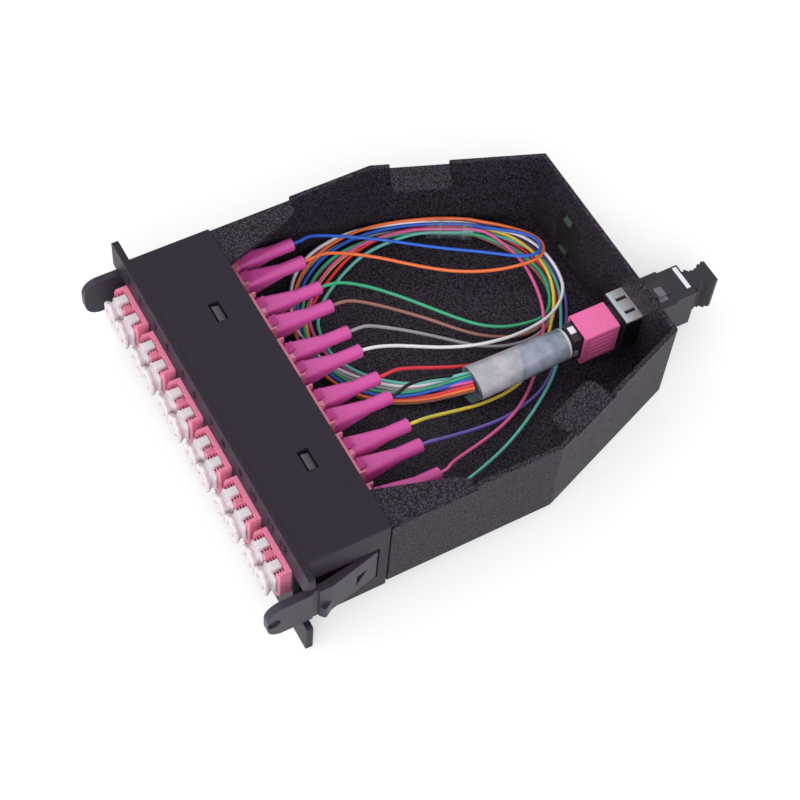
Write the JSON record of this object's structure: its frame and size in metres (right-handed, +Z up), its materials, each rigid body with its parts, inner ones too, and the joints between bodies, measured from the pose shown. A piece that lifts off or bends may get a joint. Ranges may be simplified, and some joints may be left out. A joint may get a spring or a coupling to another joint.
{
  "type": "fibre cassette",
  "caption": "Open fibre patching cassette: moulded front with capped duplex ports, steel tray, coiled coloured fibres and a rear multi-fibre trunk port.",
  "frame": {"origin": "middle of the front plate across, on its rear seating face, level with the underside of the moulded housing", "axes": "+X along the row of ports to the right seen from the front, +Y into the cassette towards the trunk port, +Z up"},
  "size_m": [0.1046, 0.143, 0.0339],
  "materials": {
    "black_moulding": "satin moulded",
    "wrinkle_black_steel": "fine wrinkle powder coat",
    "pink_adapter": "satin",
    "translucent_cap": "milky, soft",
    "magenta_plug": "satin",
    "spring_steel": "bare",
    "pink_sleeve": "satin, ribbed",
    "black_plastic": "satin",
    "grey_blank": "satin",
    "clear_wrap": "clear, glossy",
    "fibre_bundle": "satin",
    "fibre_blue": "satin",
    "fibre_orange": "satin",
    "fibre_green": "satin",
    "fibre_brown": "satin",
    "fibre_slate": "satin",
    "fibre_white": "satin",
    "fibre_red": "satin",
    "fibre_black": "satin",
    "fibre_yellow": "satin",
    "fibre_violet": "satin",
    "fibre_rose": "satin",
    "fibre_aqua": "satin"
  },
  "bodies": {
    "cassette": {"front_housing": "black_moulding", "adapter_retainer": "black_moulding", "tray": "wrinkle_black_steel", "lc_adapter_1": "pink_adapter", "lc_adapter_2": "pink_adapter", "lc_adapter_3": "pink_adapter", "lc_adapter_4": "pink_adapter", "lc_adapter_5": "pink_adapter", "lc_adapter_6": "pink_adapter", "lc_connector_01": "magenta_plug", "lc_connector_02": "magenta_plug", "lc_connector_03": "magenta_plug", "lc_connector_04": "magenta_plug", "lc_connector_05": "magenta_plug", "lc_connector_06": "magenta_plug", "lc_connector_07": "magenta_plug", "lc_connector_08": "magenta_plug", "lc_connector_09": "magenta_plug", "lc_connector_10": "magenta_plug", "lc_connector_11": "magenta_plug", "lc_connector_12": "magenta_plug", "fibre_01": "fibre_blue", "fibre_02": "fibre_orange", "fibre_03": "fibre_green", "fibre_04": "fibre_brown", "fibre_05": "fibre_slate", "fibre_06": "fibre_white", "fibre_07": "fibre_red", "fibre_08": "fibre_black", "fibre_09": "fibre_yellow", "fibre_10": "fibre_violet", "fibre_11": "fibre_rose", "fibre_12": "fibre_aqua", "mpo_adapter": "black_plastic", "mpo_adapter_clip": "spring_steel", "mpo_plug": "black_plastic", "blank_plug": "grey_blank", "fan_out_tube": "clear_wrap", "fibre_bundle": "fibre_bundle", "bundle_tape": "clear_wrap"},
    "left_latch": {"left_latch_arm": "black_moulding"},
    "right_latch": {"right_latch_arm": "black_moulding"},
    "release_sleeve": {"mpo_sleeve": "pink_sleeve"},
    "trunk_port_cap": {"mpo_dust_cap": "black_plastic"},
    "port_cap_01": {"lc_dust_cap_01": "translucent_cap"},
    "port_cap_02": {"lc_dust_cap_02": "translucent_cap"},
    "port_cap_03": {"lc_dust_cap_03": "translucent_cap"},
    "port_cap_04": {"lc_dust_cap_04": "translucent_cap"},
    "port_cap_05": {"lc_dust_cap_05": "translucent_cap"},
    "port_cap_06": {"lc_dust_cap_06": "translucent_cap"},
    "port_cap_07": {"lc_dust_cap_07": "translucent_cap"},
    "port_cap_08": {"lc_dust_cap_08": "translucent_cap"},
    "port_cap_09": {"lc_dust_cap_09": "translucent_cap"},
    "port_cap_10": {"lc_dust_cap_10": "translucent_cap"},
    "port_cap_11": {"lc_dust_cap_11": "translucent_cap"},
    "port_cap_12": {"lc_dust_cap_12": "translucent_cap"}
  },
  "joints": [
    {"name": "left_latch_flex", "type": "hinge", "parent": "cassette", "child": "left_latch", "pos_m": [-0.0452, 0.018, 0.0118], "axis": [0, 0, 1], "range_deg": [0, 5], "stiffness_Nm_per_rad": 0.8},
    {"name": "right_latch_flex", "type": "hinge", "parent": "cassette", "child": "right_latch", "pos_m": [0.0476, 0.018, 0.0118], "axis": [0, 0, -1], "range_deg": [0, 5], "stiffness_Nm_per_rad": 0.8},
    {"name": "release_sleeve_slide", "type": "slide", "parent": "cassette", "child": "release_sleeve", "axis": [0, -1, 0], "range_m": [0, 0.0012], "stiffness_N_per_m": 400},
    {"name": "trunk_port_cap_pull", "type": "slide", "parent": "cassette", "child": "trunk_port_cap", "axis": [0, 1, 0], "range_m": [0, 0.01]},
    {"name": "port_cap_01_pull", "type": "slide", "parent": "cassette", "child": "port_cap_01", "axis": [0, -1, 0], "range_m": [0, 0.012]},
    {"name": "port_cap_02_pull", "type": "slide", "parent": "cassette", "child": "port_cap_02", "axis": [0, -1, 0], "range_m": [0, 0.012]},
    {"name": "port_cap_03_pull", "type": "slide", "parent": "cassette", "child": "port_cap_03", "axis": [0, -1, 0], "range_m": [0, 0.012]},
    {"name": "port_cap_04_pull", "type": "slide", "parent": "cassette", "child": "port_cap_04", "axis": [0, -1, 0], "range_m": [0, 0.012]},
    {"name": "port_cap_05_pull", "type": "slide", "parent": "cassette", "child": "port_cap_05", "axis": [0, -1, 0], "range_m": [0, 0.012]},
    {"name": "port_cap_06_pull", "type": "slide", "parent": "cassette", "child": "port_cap_06", "axis": [0, -1, 0], "range_m": [0, 0.012]},
    {"name": "port_cap_07_pull", "type": "slide", "parent": "cassette", "child": "port_cap_07", "axis": [0, -1, 0], "range_m": [0, 0.012]},
    {"name": "port_cap_08_pull", "type": "slide", "parent": "cassette", "child": "port_cap_08", "axis": [0, -1, 0], "range_m": [0, 0.012]},
    {"name": "port_cap_09_pull", "type": "slide", "parent": "cassette", "child": "port_cap_09", "axis": [0, -1, 0], "range_m": [0, 0.012]},
    {"name": "port_cap_10_pull", "type": "slide", "parent": "cassette", "child": "port_cap_10", "axis": [0, -1, 0], "range_m": [0, 0.012]},
    {"name": "port_cap_11_pull", "type": "slide", "parent": "cassette", "child": "port_cap_11", "axis": [0, -1, 0], "range_m": [0, 0.012]},
    {"name": "port_cap_12_pull", "type": "slide", "parent": "cassette", "child": "port_cap_12", "axis": [0, -1, 0], "range_m": [0, 0.012]}
  ]
}
